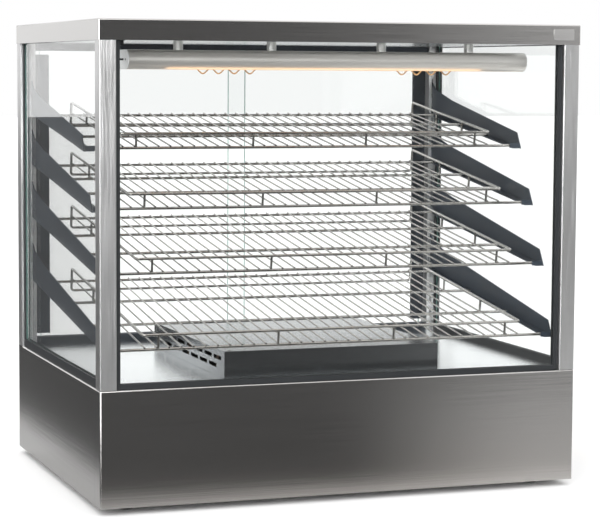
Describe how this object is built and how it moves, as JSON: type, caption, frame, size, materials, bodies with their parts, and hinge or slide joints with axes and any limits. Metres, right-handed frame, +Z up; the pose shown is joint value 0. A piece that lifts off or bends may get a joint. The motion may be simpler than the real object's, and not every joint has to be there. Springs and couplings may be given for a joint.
{
  "type": "hot food display case",
  "caption": "Glass-sided countertop case that keeps food hot on sloped wire racks under a lamp hood, with sliding rear doors.",
  "frame": {"origin": "on the counter, at the middle of the footprint", "axes": "+X to the customer's right, -Y towards the customer, +Z up"},
  "size_m": [0.9, 0.655, 0.847],
  "materials": {
    "brushed_steel": "fine brushed stainless sheet",
    "dark_steel": "dark blue-grey satin sheet",
    "chrome_wire": "bright plated wire",
    "satin_aluminium": "satin",
    "clear_glass": "clear toughened glass",
    "black_seal": "matt black gasket",
    "black_plastic": "moulded, fine grain",
    "red_plastic": "gloss",
    "rubber_foot": "matt",
    "quartz_lamp": "lit halogen tube with ceramic ends",
    "element_steel": "heat-darkened sheath"
  },
  "bodies": {
    "cabinet": {"base_pan": "brushed_steel", "front_panel": "brushed_steel", "rear_panel": "brushed_steel", "left_side_panel": "brushed_steel", "right_side_panel": "brushed_steel", "control_panel": "brushed_steel", "deck": "brushed_steel", "ceiling_panel": "brushed_steel", "top_cap": "brushed_steel", "duct_cover": "brushed_steel", "post_front_left": "brushed_steel", "post_front_right": "brushed_steel", "post_rear_left": "brushed_steel", "post_rear_right": "brushed_steel", "foot_front_left": "rubber_foot", "foot_front_right": "rubber_foot", "foot_rear_left": "rubber_foot", "foot_rear_right": "rubber_foot", "glass_front": "clear_glass", "glass_left": "clear_glass", "glass_right": "clear_glass", "seal_front": "black_seal", "seal_left": "black_seal", "seal_right": "black_seal", "upper_door_track": "black_plastic", "lower_door_track": "black_plastic", "fan_frame": "black_plastic", "thermostat_body": "black_plastic", "switch_frame": "black_plastic", "temperature_display": "black_plastic", "power_inlet": "black_plastic", "bracket_left_1": "dark_steel", "bracket_left_2": "dark_steel", "bracket_left_3": "dark_steel", "bracket_left_4": "dark_steel", "bracket_right_1": "dark_steel", "bracket_right_2": "dark_steel", "bracket_right_3": "dark_steel", "bracket_right_4": "dark_steel", "lamp_guard": "chrome_wire", "lamp_hood": "satin_aluminium", "hood_hanger_1": "satin_aluminium", "hood_hanger_2": "satin_aluminium", "hood_hanger_3": "satin_aluminium", "hood_hanger_4": "satin_aluminium", "lamp_left": "quartz_lamp", "lamp_right": "quartz_lamp", "heating_element": "element_steel"},
    "door_left": {"door_glass_left": "clear_glass", "door_handle_left": "black_plastic"},
    "door_right": {"door_glass_right": "clear_glass", "door_handle_right": "black_plastic"},
    "rack_1_body": {"rack_1": "chrome_wire"},
    "rack_2_body": {"rack_2": "chrome_wire"},
    "rack_3_body": {"rack_3": "chrome_wire"},
    "rack_4_body": {"rack_4": "chrome_wire"},
    "impeller": {"fan_impeller": "black_plastic"},
    "knob": {"thermostat_knob": "black_plastic"},
    "power_switch_rocker": {"power_rocker": "red_plastic"},
    "lamp_switch_rocker": {"lamp_rocker": "black_plastic"}
  },
  "joints": [
    {"name": "door_left_slide", "type": "slide", "parent": "cabinet", "child": "door_left", "axis": [1, 0, 0], "range_m": [0, 0.4]},
    {"name": "door_right_slide", "type": "slide", "parent": "cabinet", "child": "door_right", "axis": [-1, 0, 0], "range_m": [0, 0.4]},
    {"name": "rack_1_slide", "type": "slide", "parent": "cabinet", "child": "rack_1_body", "axis": [0, 0.9912, 0.1323], "range_m": [0, 0.04]},
    {"name": "rack_2_slide", "type": "slide", "parent": "cabinet", "child": "rack_2_body", "axis": [0, 0.9912, 0.1323], "range_m": [0, 0.04]},
    {"name": "rack_3_slide", "type": "slide", "parent": "cabinet", "child": "rack_3_body", "axis": [0, 0.9912, 0.1323], "range_m": [0, 0.04]},
    {"name": "rack_4_slide", "type": "slide", "parent": "cabinet", "child": "rack_4_body", "axis": [0, 0.9912, 0.1323], "range_m": [0, 0.04]},
    {"name": "fan_spin", "type": "hinge", "parent": "cabinet", "child": "impeller", "pos_m": [0, 0, 0.2014], "axis": [0, 0, 1], "continuous": true},
    {"name": "thermostat_turn", "type": "hinge", "parent": "cabinet", "child": "knob", "pos_m": [-0.105, 0.309, 0.114], "axis": [0, -1, 0], "range_deg": [0, 300]},
    {"name": "power_rocker_tilt", "type": "hinge", "parent": "cabinet", "child": "power_switch_rocker", "pos_m": [-0.258, 0.304, 0.114], "axis": [1, 0, 0], "range_deg": [0, 14]},
    {"name": "lamp_rocker_tilt", "type": "hinge", "parent": "cabinet", "child": "lamp_switch_rocker", "pos_m": [-0.232, 0.304, 0.114], "axis": [1, 0, 0], "range_deg": [0, 14]}
  ]
}
